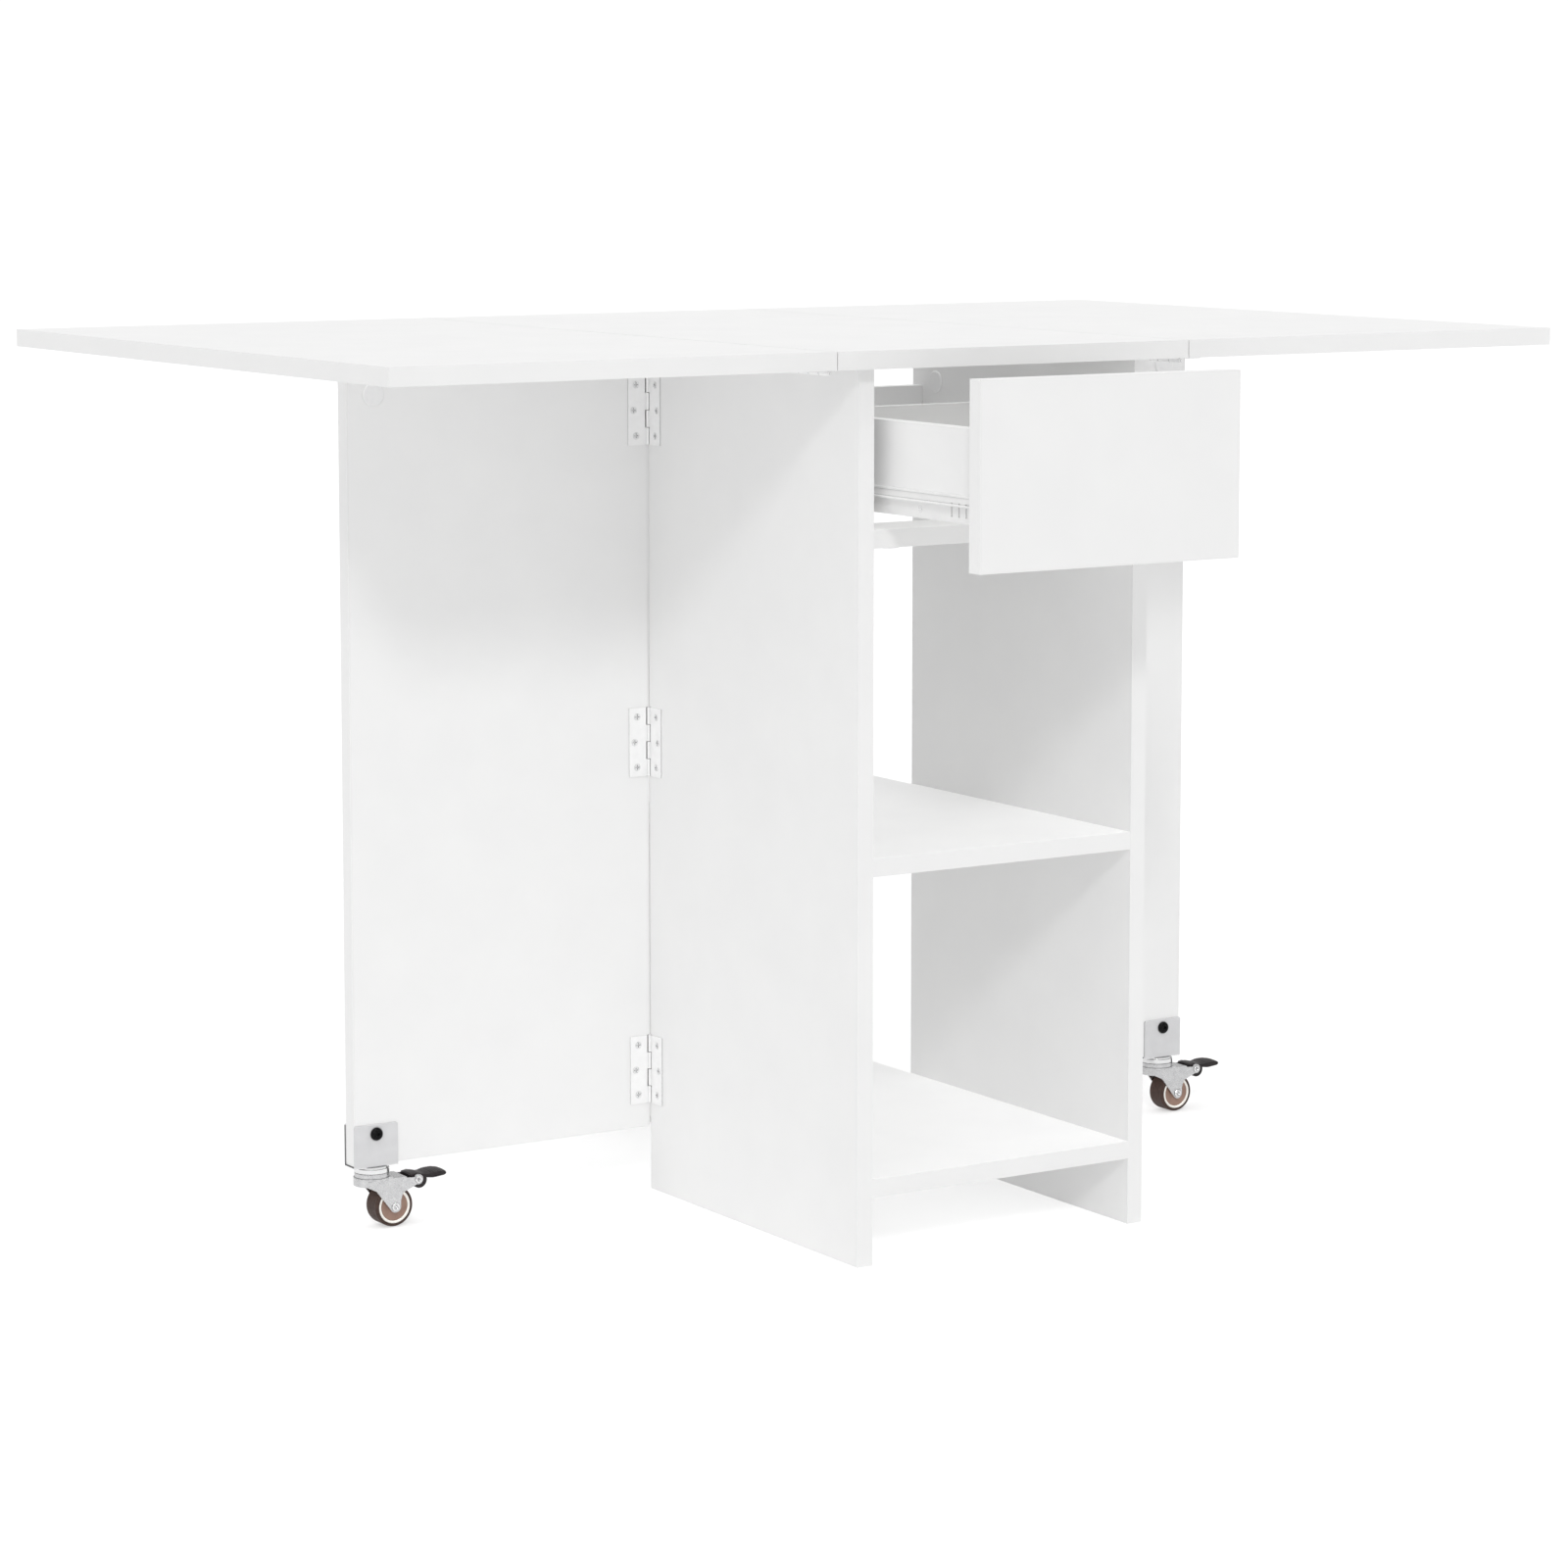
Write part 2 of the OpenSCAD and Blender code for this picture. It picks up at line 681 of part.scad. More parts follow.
module caster_rivets() {
    color("silver") {
        for (p = [[trail, wheel_r, 2.5], [pedal_x, pedal_z, 2]]) translate([p[0], 0, p[1]]) {
            along_y(-plate_out, plate_out, p[2]);
            for (side = [-1, 1]) translate([0, side * plate_out, 0]) rotate([-90 * side, 0, 0])
                cylinder(r1 = p[2] + 1.2, r2 = p[2] + 0.2, h = 1.2);
        }
    }
}

module caster_pedal() {
    color("dimgray") difference() {
        union() {
            translate([0, wheel_half - 0.2, 0]) rotate([90, 0, 0]) linear_extrude(2 * wheel_half - 0.4) union() {
                polygon([[31.5, 43.4], [31.5, 40.2], [25.5, 36.8], [26.3, 35.3], [32, 37.4], [36, 36], [47, 37.4],
                    [54, 37.6], [64, 38.6], [66, 39.6], [66, 42.4], [61, 43.8], [54, 43.2], [46, 42.3],
                    [39, 43.9], [33, 43.8]]);
                translate([pedal_x + 2.5, pedal_z - 1.5]) circle(r = 6.8);
            }
            translate([0, wheel_half + 1, 0]) rotate([90, 0, 0]) linear_extrude(2 * wheel_half + 2)
                polygon([[47, 41.5], [50, 38.6], [54, 37.6], [64, 38.6], [66, 39.6], [66, 42.4], [61, 43.8],
                    [54, 43.2], [47, 42.4]]);
        }
        translate([pedal_x, 0, pedal_z]) along_y(-14, 14, 2.05);
    }
}

centre_top();
leaf(-1);  // left_leaf
leaf(1);  // right_leaf
side_panel(-1, left_top_fits);  // left_side_panel
side_panel(1, right_top_fits);  // right_side_panel
shelf(bottom_shelf_z, bottom_fits);  // bottom_shelf
shelf(middle_shelf_z, middle_fits);  // middle_shelf
front_rail();
rear_rail();
rear_panel();
cam_locks();
cam_bolts();
dowels();
cam_caps();
drawer_front();
drawer_side(-1);  // drawer_left_side
drawer_side(1);  // drawer_right_side
drawer_back();
drawer_bottom();
drawer_dowels();
drawer_screws();
cabinet_runner(-1);  // left_cabinet_runner
cabinet_runner(1);  // right_cabinet_runner
drawer_runner(-1);  // left_drawer_runner
drawer_runner(1);  // right_drawer_runner
front_roller(-1);  // left_front_roller
front_roller(1);  // right_front_roller
rear_roller(-1);  // left_rear_roller
rear_roller(1);  // right_rear_roller
leg(-1);  // left_leg
leg(1);  // right_leg
leg_cap(-1);  // left_leg_cap
leg_cap(1);  // right_leg_cap
hinge_fixed_leaves();
hinge_pins();
leg_hinge_leaves(-1);  // left_leg_hinge_leaves
leg_hinge_leaves(1);  // right_leg_hinge_leaves
top_hinge_leaves(-1);  // left_top_hinge_leaves
top_hinge_leaves(1);  // right_top_hinge_leaves
cabinet_screws();
leg_screws(-1);  // left_leg_screws
leg_screws(1);  // right_leg_screws
leaf_screws(-1);  // left_leaf_screws
leaf_screws(1);  // right_leaf_screws
at_caster(-1) caster_bracket();  // left_caster_bracket
at_caster(-1) caster_bolt();  // left_caster_bolt
at_caster(-1) caster_kingpin();  // left_caster_kingpin
at_caster(-1) caster_balls();  // left_caster_balls
at_caster(-1) caster_fork();  // left_caster_fork
at_caster(-1) caster_wheel();  // left_caster_wheel
at_caster(-1) caster_rivets();  // left_caster_rivets
at_caster(-1) caster_pedal();  // left_caster_pedal
at_caster(1) caster_bracket();  // right_caster_bracket
at_caster(1) caster_bolt();  // right_caster_bolt
at_caster(1) caster_kingpin();  // right_caster_kingpin
at_caster(1) caster_balls();  // right_caster_balls
at_caster(1) caster_fork();  // right_caster_fork
at_caster(1) caster_wheel();  // right_caster_wheel
at_caster(1) caster_rivets();  // right_caster_rivets
at_caster(1) caster_pedal();  // right_caster_pedal
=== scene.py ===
"""Looks of the sewing table: finishes for its boards and hardware, detailed casters, and a pale studio."""

import json
import math

import bmesh
import bpy
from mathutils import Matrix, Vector


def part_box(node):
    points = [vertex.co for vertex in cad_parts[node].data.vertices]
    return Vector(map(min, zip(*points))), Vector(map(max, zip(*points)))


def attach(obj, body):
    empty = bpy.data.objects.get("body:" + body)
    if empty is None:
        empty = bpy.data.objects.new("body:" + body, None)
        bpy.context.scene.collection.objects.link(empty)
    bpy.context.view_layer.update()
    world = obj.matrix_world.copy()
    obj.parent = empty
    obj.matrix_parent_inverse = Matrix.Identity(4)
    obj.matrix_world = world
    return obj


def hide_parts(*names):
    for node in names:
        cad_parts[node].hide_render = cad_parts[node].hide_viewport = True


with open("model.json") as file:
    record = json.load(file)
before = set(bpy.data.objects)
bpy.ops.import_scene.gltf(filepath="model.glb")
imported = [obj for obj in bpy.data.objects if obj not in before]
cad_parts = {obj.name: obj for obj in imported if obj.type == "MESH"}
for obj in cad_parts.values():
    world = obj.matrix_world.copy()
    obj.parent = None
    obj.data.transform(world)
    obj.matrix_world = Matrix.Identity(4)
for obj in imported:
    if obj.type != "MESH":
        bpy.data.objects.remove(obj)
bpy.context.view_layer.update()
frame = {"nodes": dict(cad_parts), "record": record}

MM = 0.001
SIDES = ("left", "right")

# Painted shade where surfaces meet: full where little open space is left round a point, and none where it
# is open
PAINTED_SHADE = (0.06, 0.06, 0.062)
PAINTED_SHADE_REACH = 1.6 * MM
PAINTED_SHADE_FULL, PAINTED_SHADE_NONE = 0.35, 0.9


# ---------------------------------------------------------------- shader helpers

class Finish:
    """A Principled material and the few kinds of node that the finishes are made of."""

    def __init__(self, name, **sockets):
        self.material = bpy.data.materials.new(name)
        self.material.use_nodes = True
        self.tree = self.material.node_tree
        self.shader = self.tree.nodes["Principled BSDF"]
        self.place = self.node("ShaderNodeTexCoord").outputs["Object"]
        for socket, value in sockets.items():
            self.shader.inputs[socket.replace("_", " ")].default_value = value

    def node(self, kind, **settings):
        made = self.tree.nodes.new(kind)
        for name, value in settings.items():
            setattr(made, name, value)
        return made

    def feed(self, socket, value):
        """Links value into socket when it is another node's output, or sets it."""
        if isinstance(value, bpy.types.NodeSocket):
            self.tree.links.new(value, socket)
        else:
            socket.default_value = value

    def noise(self, size, detail=2.0, stretch=(1, 1, 1)):
        """Noise whose features are about size metres across, longer along an axis with a small stretch."""
        spread = self.node("ShaderNodeMapping")
        spread.inputs["Scale"].default_value = stretch
        self.feed(spread.inputs["Vector"], self.place)
        made = self.node("ShaderNodeTexNoise")
        made.inputs["Scale"].default_value = 1 / size
        made.inputs["Detail"].default_value = detail
        self.feed(made.inputs["Vector"], spread.outputs["Vector"])
        return made.outputs["Fac"]

    def between(self, factor, low, high, start=0.3, end=0.7):
        """A number that goes from low to high as factor goes from start to end."""
        made = self.node("ShaderNodeMapRange")
        for name, value in (("Value", factor), ("From Min", start), ("From Max", end),
                            ("To Min", low), ("To Max", high)):
            self.feed(made.inputs[name], value)
        return made.outputs["Result"]

    def blend(self, factor, first, second):
        """A colour between two others."""
        made = self.node("ShaderNodeMix", data_type="RGBA")
        self.feed(made.inputs["Factor"], factor)
        for socket, value in ((made.inputs[6], first), (made.inputs[7], second)):
            self.feed(socket, (*value, 1) if isinstance(value, tuple) else value)
        return made.outputs[2]

    def math(self, operation, first, second=0.0):
        """The result of one arithmetic operation on a shader's numbers."""
        made = self.node("ShaderNodeMath", operation=operation)
        self.feed(made.inputs[0], first)
        self.feed(made.inputs[1], second)
        return made.outputs["Value"]

    def bump(self, height, depth):
        """Relief depth metres deep, on top of any that was made before."""
        made = self.node("ShaderNodeBump")
        made.inputs["Strength"].default_value = 1.0
        made.inputs["Distance"].default_value = depth
        self.feed(made.inputs["Height"], height)
        if self.shader.inputs["Normal"].is_linked:
            self.feed(made.inputs["Normal"], self.shader.inputs["Normal"].links[0].from_socket)
        self.feed(self.shader.inputs["Normal"], made.outputs["Normal"])

    def crevice_shade(self, value, amount):
        """A colour with painted shade: it darkens by amount where other surfaces are close, such as round
        a screw head.
        """
        near = self.node("ShaderNodeAmbientOcclusion", samples=8)
        near.inputs["Distance"].default_value = PAINTED_SHADE_REACH
        painted_shade_share = self.between(near.outputs["AO"], amount, 0.0, PAINTED_SHADE_FULL, PAINTED_SHADE_NONE)
        return self.blend(painted_shade_share, value, PAINTED_SHADE)

    def colour(self, value):
        self.feed(self.shader.inputs["Base Color"], value)

    def roughness(self, value):
        self.feed(self.shader.inputs["Roughness"], value)


# ---------------------------------------------------------------- finishes

# Edge band of the boards, and the glue line beside it
BAND = 1.0 * MM
GLUE_LINE = 0.12 * MM
GLUE = (0.55, 0.54, 0.52)
GLUE_SHOWS = 0.35

# Ball race under a caster bracket, and half the board that the bracket clasps
RACE_HEIGHT = 5.6 * MM
BOARD_HALF = 7.5 * MM


def laminate(node, white=(0.885, 0.885, 0.882), shade=(0.865, 0.865, 0.864)):
    """White melamine-faced board: fine peel, cloudy gloss, and the glue line of the edge band."""
    made = Finish(f"laminate_{node}", Specular_IOR_Level=0.5)
    low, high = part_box(node)
    thin = min(range(3), key=lambda axis: high[axis] - low[axis])
    parts = made.node("ShaderNodeSeparateXYZ")
    made.feed(parts.inputs[0], made.place)
    rim = None
    for axis in (a for a in range(3) if a != thin):
        for away in (made.math("SUBTRACT", parts.outputs[axis], low[axis]),
                     made.math("SUBTRACT", high[axis], parts.outputs[axis])):
            rim = away if rim is None else made.math("MINIMUM", rim, away)
    off_line = made.math("ABSOLUTE", made.math("SUBTRACT", rim, BAND))
    line = made.between(off_line, 1.0, 0.0, 0.5 * GLUE_LINE, GLUE_LINE)
    cloud = made.noise(60 * MM, 3)
    face = made.blend(made.between(cloud, 0, 1), shade, white)
    made.colour(made.blend(made.math("MULTIPLY", line, GLUE_SHOWS), face, GLUE))
    made.roughness(made.between(made.noise(25 * MM, 2), 0.33, 0.40))
    made.bump(made.noise(1.6 * MM, 2), 0.012 * MM)
    made.bump(made.noise(0.35 * MM, 1), 0.003 * MM)
    return made.material


def plain(name, dark, light, patch, rough, grain, depth,
          metallic=0.0, stretch=(1, 1, 1), painted_shade=0.0, **sockets):
    """A finish with patches between two colours, fine relief that may run along one axis, and painted
    shade where other surfaces come close when that share is above nought.
    """
    made = Finish(name, Metallic=metallic, **sockets)
    face = made.blend(made.between(made.noise(patch, 3), 0, 1), dark, light)
    # Painted shade where other surfaces come close, when the finish asks for it
    made.colour(made.crevice_shade(face, painted_shade) if painted_shade else face)
    made.roughness(made.between(made.noise(grain * 3, 2, stretch), *rough))
    made.bump(made.noise(grain, 2, stretch), depth)
    return made.material


# The zinc, hinge, screw, white steel and chrome finishes below carry painted shade where other surfaces
# come close
ZINC = plain("zinc_steel", (0.60, 0.60, 0.61), (0.68, 0.68, 0.685), 5 * MM, (0.24, 0.34),
             0.5 * MM, 0.004 * MM, metallic=1.0, painted_shade=0.95)
HINGE = plain("hinge_zinc", (0.93, 0.93, 0.93), (0.97, 0.97, 0.97), 5 * MM, (0.28, 0.36),
              0.5 * MM, 0.003 * MM, metallic=0.15, painted_shade=0.9)
SCREW = plain("screw_zinc", (0.80, 0.80, 0.81), (0.88, 0.88, 0.88), 2 * MM, (0.25, 0.35),
              0.4 * MM, 0.003 * MM, metallic=0.4, painted_shade=0.8)
FINISHES = {
    "hardboard": plain("hardboard", (0.78, 0.78, 0.77), (0.83, 0.83, 0.82), 30 * MM, (0.4, 0.5),
                       1.2 * MM, 0.02 * MM),
    "white_steel": plain("white_steel", (0.82, 0.82, 0.82), (0.86, 0.86, 0.855), 15 * MM, (0.28, 0.36),
                         1.0 * MM, 0.015 * MM, painted_shade=0.45),
    "black_steel": plain("black_steel", (0.002, 0.002, 0.0022), (0.005, 0.005, 0.0055), 2 * MM,
                         (0.25, 0.35), 0.3 * MM, 0.01 * MM, Specular_IOR_Level=0.12),
    "beech": plain("beech", (0.42, 0.27, 0.14), (0.6, 0.42, 0.25), 2 * MM, (0.5, 0.65),
                   0.4 * MM, 0.05 * MM, stretch=(0.1, 1, 1)),
    "cap_plastic": plain("cap_plastic", (0.85, 0.85, 0.855), (0.88, 0.88, 0.88), 4 * MM, (0.42, 0.5),
                         0.4 * MM, 0.015 * MM),
    "nylon": plain("nylon", (0.76, 0.75, 0.70), (0.84, 0.83, 0.79), 4 * MM, (0.3, 0.4),
                   0.5 * MM, 0.01 * MM),
    "wheel_plastic": plain("wheel_plastic", (0.27, 0.165, 0.125), (0.335, 0.21, 0.16), 5 * MM,
                           (0.34, 0.44), 0.4 * MM, 0.01 * MM),
    "pedal_plastic": plain("pedal_plastic", (0.010, 0.007, 0.008), (0.018, 0.013, 0.014), 3 * MM,
                           (0.35, 0.48), 0.35 * MM, 0.02 * MM, Specular_IOR_Level=0.35),
}
TREAD = plain("tread_rubber", (0.046, 0.025, 0.019), (0.068, 0.038, 0.029), 3 * MM, (0.42, 0.54),
              0.25 * MM, 0.01 * MM, Specular_IOR_Level=0.3)
CREAM = plain("cream_ring", (0.92, 0.89, 0.83), (0.96, 0.94, 0.89), 3 * MM, (0.25, 0.35),
              0.5 * MM, 0.005 * MM)
CHROME = plain("chrome", (0.84, 0.84, 0.85), (0.92, 0.92, 0.925), 2 * MM, (0.10, 0.18),
               0.3 * MM, 0.002 * MM, metallic=1.0, painted_shade=0.9)


def bracket_steel(node):
    """Grey painted sheet over a race of bright bare metal. Its end faces toward X, behind the board and
    above the race, are near black: partly the bare edge where the sheet was cut, and partly painted shade
    for the shadow line along it.
    """
    made = Finish(f"grey_steel_{node}")
    low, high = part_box(node)
    turned = made.node("ShaderNodeSeparateXYZ")
    made.feed(turned.inputs[0], made.node("ShaderNodeTexCoord").outputs["Normal"])
    placed = made.node("ShaderNodeSeparateXYZ")
    made.feed(placed.inputs[0], made.place)
    patches = made.between(made.noise(12 * MM, 3), 0, 1)
    painted = made.blend(patches, (0.64, 0.64, 0.65), (0.68, 0.68, 0.69))
    # End faces toward X go near black: the bare cut edge, darkened further as painted shade
    sheared_edge_and_shade = made.between(made.math("ABSOLUTE", turned.outputs["X"]), 0.0, 1.0, 0.85, 0.97)
    inside = (low.y + high.y) / 2 - BOARD_HALF
    behind = made.between(placed.outputs["Y"], 0.0, 1.0, inside, inside + 0.5 * MM)
    race_top = low.z + RACE_HEIGHT
    above = made.between(placed.outputs["Z"], 0.0, 1.0, race_top, race_top + 0.3 * MM)
    dark_end_and_shade = made.math("MULTIPLY", made.math("MULTIPLY", sheared_edge_and_shade, above), behind)
    face = made.blend(dark_end_and_shade, painted, (0.045, 0.045, 0.048))
    # Painted shade darkens race and paint alike where other surfaces come close
    made.colour(made.crevice_shade(made.blend(above, (0.86, 0.86, 0.865), face), 0.9))
    made.feed(made.shader.inputs["Metallic"], made.between(above, 1.0, 0.0, 0.0, 1.0))
    made.roughness(made.between(above, 0.18, 0.42, 0.0, 1.0))
    made.bump(made.noise(0.8 * MM, 2), 0.008 * MM)
    return made.material


# ---------------------------------------------------------------- carried-over CAD nodes

def soften(part, width, segments=2):
    """Rounds the hard edges of a CAD node with modifiers, which leave its mesh as it is."""
    part.modifiers.new("join", "WELD").merge_threshold = 0.001 * MM
    flat = part.modifiers.new("flats", "DECIMATE")
    flat.decimate_type = "DISSOLVE"
    flat.angle_limit = math.radians(0.2)
    edge = part.modifiers.new("edges", "BEVEL")
    edge.width = width
    edge.segments = segments
    edge.limit_method = "ANGLE"
    edge.angle_limit = math.radians(35)
    part.modifiers.new("shading", "WEIGHTED_NORMAL").weight = 80


SLOTS = {row["node"]: row["material_slot"] for row in frame["record"]["subparts"]}
EDGE_WIDTHS = {
    "laminate": 0.6 * MM,
    "hardboard": 0.3 * MM,
    "grey_steel": 0.4 * MM,
    "white_steel": 0.25 * MM,
    "zinc_steel": 0.12 * MM,
    "cap_plastic": 0.3 * MM,
    "nylon": 0.4 * MM,
    "black_steel": 0.2 * MM,
}
TOP_BOARDS = ("centre_top", "left_leaf", "right_leaf")
TOP_EDGE = 0.3 * MM
ZINC_KINDS = (("hinge_", HINGE), ("_screws", SCREW), ("kingpin", CHROME), ("_balls", CHROME),
              ("_rivets", CHROME))


def zinc_kind(name):
    """The kind of zinc plating on a node of the zinc_steel slot."""
    return next((finish for part_of_name, finish in ZINC_KINDS if part_of_name in name), ZINC)


for name, part in frame["nodes"].items():
    kind = SLOTS[name]
    if kind == "laminate":
        finish = laminate(name)
    elif kind == "grey_steel":
        finish = bracket_steel(name)
    else:
        finish = zinc_kind(name) if kind == "zinc_steel" else FINISHES[kind]
    part.data.materials.clear()
    part.data.materials.append(finish)
    if kind in EDGE_WIDTHS:
        width = TOP_EDGE if name in TOP_BOARDS else EDGE_WIDTHS[kind]
        soften(part, width, 3 if kind == "laminate" else 2)


# ---------------------------------------------------------------- caster wheels, brake levers and rivets

def build(name, points, faces, material, body, stands_for):
    """A smooth mesh piece on a CAD body, in place of one CAD node."""
    mesh = bpy.data.meshes.new(name)
    mesh.from_pydata([tuple(p) for p in points], [], faces)
    mesh.validate()
    made = bmesh.new()
    made.from_mesh(mesh)
    bmesh.ops.recalc_face_normals(made, faces=made.faces)
    made.to_mesh(mesh)
    made.free()
    mesh.shade_smooth()
    mesh.materials.append(material)
    piece = bpy.data.objects.new(name, mesh)
    bpy.context.scene.collection.objects.link(piece)
    piece.modifiers.new("shading", "WEIGHTED_NORMAL").keep_sharp = True
    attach(piece, body)
    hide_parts(stands_for)


def skin(rows, count, closed=False):
    """Faces between rows of count points each, and from the last row back to the first where closed."""
    faces = []
    for k in range(rows if closed else rows - 1):
        here, there = k * count, (k + 1) % rows * count
        for i in range(count):
            after = (i + 1) % count
            faces.append((here + i, here + after, there + after, there + i))
    return faces


def capped_skin(rows, count):
    """The same for an open row of sections, with a face over the first and the last."""
    return [tuple(range(count)), tuple(range((rows - 1) * count, rows * count))] + skin(rows, count)


def turned_ring(centre, outline, steps=96):
    """Points and faces of a closed outline of (radius, along Y) turned about the Y axis at centre."""
    points = []
    for k in range(steps):
        angle = math.tau * k / steps
        points += [centre + Vector((r * math.cos(angle), y, r * math.sin(angle))) for r, y in outline]
    return points, skin(steps, len(outline), closed=True)


def arc(centre, radius, start, end, steps=6):
    """Points on an arc, in degrees from start to end."""
    turns = [math.radians(start + (end - start) * k / steps) for k in range(steps + 1)]
    return [(centre[0] + radius * math.cos(t), centre[1] + radius * math.sin(t)) for t in turns]


def tread_outline(radius, half, inner):
    """Rubber tyre: round shoulders and a row of fine grooves between them."""
    shoulder, groove, cut, rows = 2.2 * MM, 0.22 * MM, 0.3 * MM, 7
    flat = half - shoulder
    outline = arc((radius - shoulder, -flat), shoulder, -90, 0)
    for k in range(rows):
        y = flat * (2 * (k + 1) / (rows + 1) - 1)
        outline += [(radius, y - cut), (radius - groove, y - cut / 3),
                    (radius - groove, y + cut / 3), (radius, y + cut)]
    outline += arc((radius - shoulder, flat), shoulder, 0, 90)
    return outline + [(inner, half), (inner, -half)]


def ring_outline(outer, inner, half):
    """Pale rim between the tyre and the wheel's discs, rounded at both faces."""
    lip = (outer - inner) / 2
    middle = (outer + inner) / 2
    return arc((middle, half - lip), lip, 0, 180, 10) + arc((middle, lip - half), lip, 180, 360, 10)


def core_outline(outer, bore, half):
    """Wheel body: a dished disc on each side, and a hub that stands out to the fork."""
    dish = half - 1.7 * MM
    hub = 4.6 * MM
    side = [(outer, half - 1.0 * MM), (outer - 0.7 * MM, half - 1.1 * MM), (outer - 1.5 * MM, dish),
            (hub + 1.2 * MM, dish), (hub + 0.5 * MM, dish + 0.4 * MM), (hub, half - 0.25 * MM),
            (hub - 0.3 * MM, half - 0.05 * MM), (bore, half - 0.05 * MM)]
    return side + [(r, -y) for r, y in reversed(side)]


def caster_wheel(side):
    """Tyre, pale rim and brown core of one wheel."""
    node, body = f"{side}_caster_wheel", f"{side}_wheel"
    low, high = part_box(node)
    centre = (low + high) / 2
    radius, half = (high.z - low.z) / 2, (high.y - low.y) / 2
    rim, disc_edge = radius - 2.6 * MM, radius - 5.1 * MM
    bore = 2.6 * MM
    for piece, outline, finish in (
            ("tyre", tread_outline(radius, half, rim), TREAD),
            ("rim", ring_outline(rim, disc_edge, half + 0.05 * MM), CREAM),
            ("core", core_outline(disc_edge, bore, half), FINISHES["wheel_plastic"])):
        points, faces = turned_ring(centre, outline)
        build(f"{side}_wheel_{piece}", points, faces, finish, body, node)


def smooth_path(keys, x):
    """Value at x of the curve that eases from each (x, value) key to the next."""
    for (x0, v0), (x1, v1) in zip(keys, keys[1:]):
        if x <= x1:
            t = max(0.0, (x - x0) / (x1 - x0))
            return v0 + (v1 - v0) * t * t * (3 - 2 * t)
    return keys[-1][1]


# Brake lever, in millimetres: X from the swivel axis to the tip, Z from the floor
LEVER_FROM, LEVER_TO = 31.5, 66.0
LEVER_STEP = 0.25
LEVER_PIVOT = (38.5, 38.5)
LEVER_TOP = [(31.5, 42.8), (33, 43.7), (38.5, 43.8), (46, 42.3),
             (55, 43.6), (60, 43.7), (64.5, 43.0), (66, 42.4)]
LEVER_UNDER = [(31.5, 40.2), (33, 39.6), (44, 38.6), (54, 37.8), (63, 38.5), (66, 39.2)]
LEVER_HALF = [(31.5, 8.4), (33, 9.6), (46, 9.8), (54, 10.8), (61, 10.8), (65, 10.6), (66, 10.0)]
LEVER_CROWN = 0.07
LEVER_CORNER = 1.2
GRIP_FROM, GRIP_TO = 50.0, 63.0
GRIP_PITCH, GRIP_DEPTH = 2.2, 0.25
HUB_CENTRE, HUB_RADIUS = (41.0, 37.0), 6.8

# Rows across the shoe as (Y, share of its outline), which shrinks toward its middle at both faces
SHOE_ROWS = [(-9.7, 0.94), (-9.2, 1.0), (9.2, 1.0), (9.7, 0.94)]
SHOE_MIDDLE = (38.0, 37.5)

# Rivets of the caster, in millimetres
AXLE_SHAFT, LEVER_SHAFT = 2.5, 2.0
RIVET_HEAD = 1.2


def lever_section(x, steps=5):
    """Rounded rectangle across the lever at x, as (y, z) points."""
    top, under, half = (smooth_path(keys, x) for keys in (LEVER_TOP, LEVER_UNDER, LEVER_HALF))
    if GRIP_FROM < x < GRIP_TO:
        top -= GRIP_DEPTH * (0.5 - 0.5 * math.cos(math.tau * (x - GRIP_FROM) / GRIP_PITCH))
    corner = min(LEVER_CORNER, (top - under) * 0.45)
    low_shoulder = top - corner - LEVER_CROWN * half
    crown = [(y * half, top - LEVER_CROWN * half * y * y) for y in (0.7, 0.45, 0.2, -0.2, -0.45, -0.7)]
    return (arc((half - corner, low_shoulder), corner, 0, 75, steps) + crown
            + arc((corner - half, low_shoulder), corner, 105, 180, steps)
            + arc((corner - half, under + corner), corner, 180, 270, steps)
            + arc((half - corner, under + corner), corner, 270, 360, steps))


def shoe_outline():
    """Side view of the hub round the pivot and of the shoe that reaches toward the tyre."""
    reach = [(31.8, 40.4), (25.6, 36.7), (26.3, 35.4), (31.6, 37.2)]
    return reach + arc(HUB_CENTRE, HUB_RADIUS, 190, 370, 18) + [(46.5, 40.5)]


def brake_lever(side):
    """Lever plate lofted along X, with its shoe and hub between the fork plates."""
    node, body = f"{side}_caster_pedal", f"{side}_pedal"
    low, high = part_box(node)
    swivel = Vector((high.x - LEVER_TO * MM, (low.y + high.y) / 2, 0))
    stations = round((LEVER_TO - LEVER_FROM) / LEVER_STEP) + 1
    points = []
    for k in range(stations):
        x = LEVER_FROM + LEVER_STEP * k
        section = lever_section(x)
        points += [swivel + Vector((x, y, z)) * MM for y, z in section]
    faces = capped_skin(stations, len(section))
    build(f"{side}_brake_lever", points, faces, FINISHES["pedal_plastic"], body, node)
    outline = shoe_outline()
    mid_x, mid_z = SHOE_MIDDLE
    points = []
    for y, share in SHOE_ROWS:
        shrunk = [(mid_x + (x - mid_x) * share, mid_z + (z - mid_z) * share) for x, z in outline]
        points += [swivel + Vector((x, y, z)) * MM for x, z in shrunk]
    faces = capped_skin(len(SHOE_ROWS), len(outline))
    build(f"{side}_brake_shoe", points, faces, FINISHES["pedal_plastic"], body, node)


def rivet_outline(shaft, face):
    """Rivet with a rounded head past each fork plate, and a ring groove round the middle of the head."""
    head = [(0.15, 1.0), (0.28 * shaft, 0.8), (0.35 * shaft, 0.15), (0.78 * shaft, 0.15),
            (0.86 * shaft, 0.95), (shaft + 0.2, 1.15), (shaft + 0.7, 1.0), (shaft + 1.2, 0.5),
            (shaft + 1.3, 0.0), (shaft, 0.0)]
    side = [(r * MM, face + y * MM) for r, y in head]
    return side + [(r, -y) for r, y in reversed(side)]


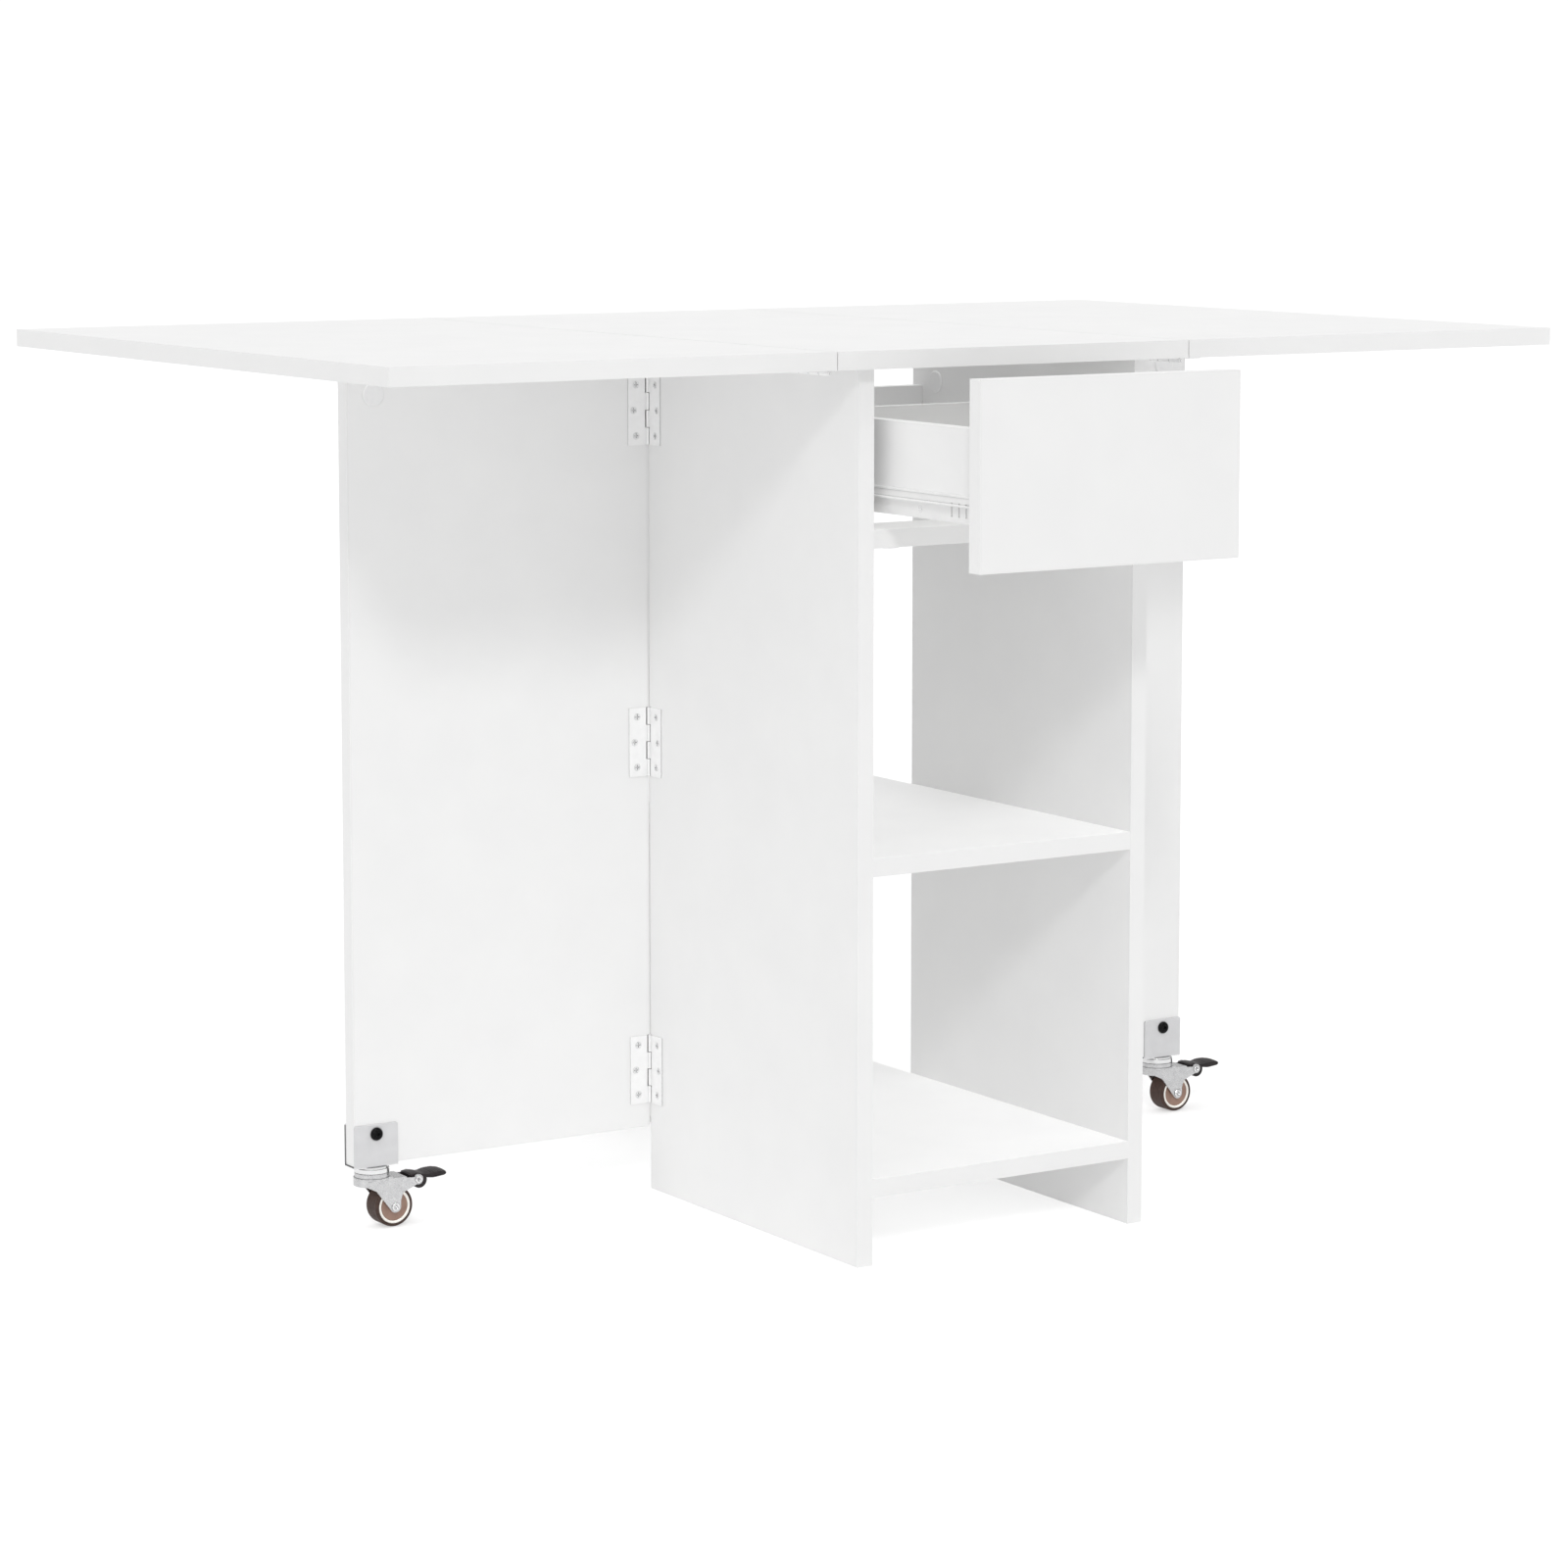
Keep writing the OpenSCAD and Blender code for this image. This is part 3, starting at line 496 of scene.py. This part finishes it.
def rivets(side):
    """Axle rivet and lever rivet of one caster."""
    node, body = f"{side}_caster_rivets", f"{side}_caster"
    low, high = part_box(node)
    wheel_low, wheel_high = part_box(f"{side}_caster_wheel")
    axle = (wheel_low + wheel_high) / 2
    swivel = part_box(f"{side}_caster_pedal")[1].x - LEVER_TO * MM
    pivot = Vector((swivel + LEVER_PIVOT[0] * MM, axle.y, LEVER_PIVOT[1] * MM))
    face = (high.y - low.y) / 2 - RIVET_HEAD * MM
    for piece, centre, shaft in (("axle_rivet", axle, AXLE_SHAFT), ("lever_rivet", pivot, LEVER_SHAFT)):
        points, faces = turned_ring(centre, rivet_outline(shaft, face), 48)
        build(f"{side}_{piece}", points, faces, CHROME, body, node)


for side in SIDES:
    caster_wheel(side)
    brake_lever(side)
    rivets(side)


# ---------------------------------------------------------------- studio

def disc(name, radius, height, material):
    """A flat round sheet that lies at height."""
    mesh = bpy.data.meshes.new(name)
    made = bmesh.new()
    bmesh.ops.create_circle(made, cap_ends=True, segments=96, radius=radius)
    made.to_mesh(mesh)
    made.free()
    floor = bpy.data.objects.new(name, mesh)
    floor.location.z = height
    mesh.materials.append(material)
    bpy.context.scene.collection.objects.link(floor)
    return floor


# Pale floor whose own light only the camera sees, just below the wheels
FLOOR_RADIUS = 40
FLOOR_GAP = 0.5 * MM
FLOOR_GLOW = 0.18
floor_finish = Finish("pale_floor", Roughness=0.7, Specular_IOR_Level=0.1)
mottle = floor_finish.noise(400 * MM, 2)
floor_finish.colour(floor_finish.blend(mottle, (0.80, 0.80, 0.80), (0.82, 0.82, 0.82)))
floor_finish.shader.inputs["Emission Color"].default_value = (1, 1, 1, 1)
seen = floor_finish.node("ShaderNodeLightPath").outputs["Is Camera Ray"]
glow = floor_finish.between(seen, 0.0, FLOOR_GLOW, 0.0, 1.0)
floor_finish.feed(floor_finish.shader.inputs["Emission Strength"], glow)
disc("floor", FLOOR_RADIUS, -FLOOR_GAP, floor_finish.material)

# White backdrop for the camera, and softer surroundings for the light that falls on the table
BACKDROP = 1.1
SURROUND = 0.61
world = bpy.data.worlds.new("studio")
world.use_nodes = True
sky = world.node_tree
rays = sky.nodes.new("ShaderNodeLightPath")
strength = sky.nodes.new("ShaderNodeMapRange")
strength.inputs["To Min"].default_value = SURROUND
strength.inputs["To Max"].default_value = BACKDROP
sky.nodes["Background"].inputs["Color"].default_value = (1, 1, 1, 1)
sky.links.new(rays.outputs["Is Camera Ray"], strength.inputs["Value"])
sky.links.new(strength.outputs["Result"], sky.nodes["Background"].inputs["Strength"])
bpy.context.scene.world = world


def sun(name, left_of_front, elevation, strength, spread=1.0, shadow=True):
    """Distant light from left_of_front degrees round from -Y toward -X, and elevation degrees up."""
    lamp = bpy.data.lights.new(name, "SUN")
    lamp.energy = strength
    lamp.angle = math.radians(spread)
    lamp.use_shadow = shadow
    turn, rise = math.radians(left_of_front), math.radians(elevation)
    toward = Vector((-math.sin(turn) * math.cos(rise), -math.cos(turn) * math.cos(rise), math.sin(rise)))
    made = bpy.data.objects.new(name, lamp)
    made.rotation_euler = toward.to_track_quat("Z", "Y").to_euler()
    bpy.context.scene.collection.objects.link(made)


sun("key", 29, 33, 0.64, spread=9)
sun("fill_front", 0, 5, 0.03, shadow=False)
sun("fill_left", 80, 5, 0.13, shadow=False)
sun("fill_top", 0, 85, 1.27, shadow=False)
sun("soft_left", 75, 50, 0.25, spread=50)

# Camera: its place in metres, angles in degrees, sensor and lens in millimetres
EYE = (-2.1455, -3.2955, 0.9417)
TILT_DOWN = 6.52
TURN_RIGHT = 32.53
SENSOR, LENS = 36, 104.2
SHIFT_DOWN = 0.1
camera = bpy.data.cameras.new("camera")
camera.sensor_width = SENSOR
camera.lens = LENS
camera.shift_y = -SHIFT_DOWN
view = bpy.data.objects.new("camera", camera)
view.location = EYE
view.rotation_euler = (math.radians(90 - TILT_DOWN), 0, -math.radians(TURN_RIGHT))
bpy.context.scene.collection.objects.link(view)
bpy.context.scene.camera = view
bpy.context.scene.view_settings.view_transform = "Standard"
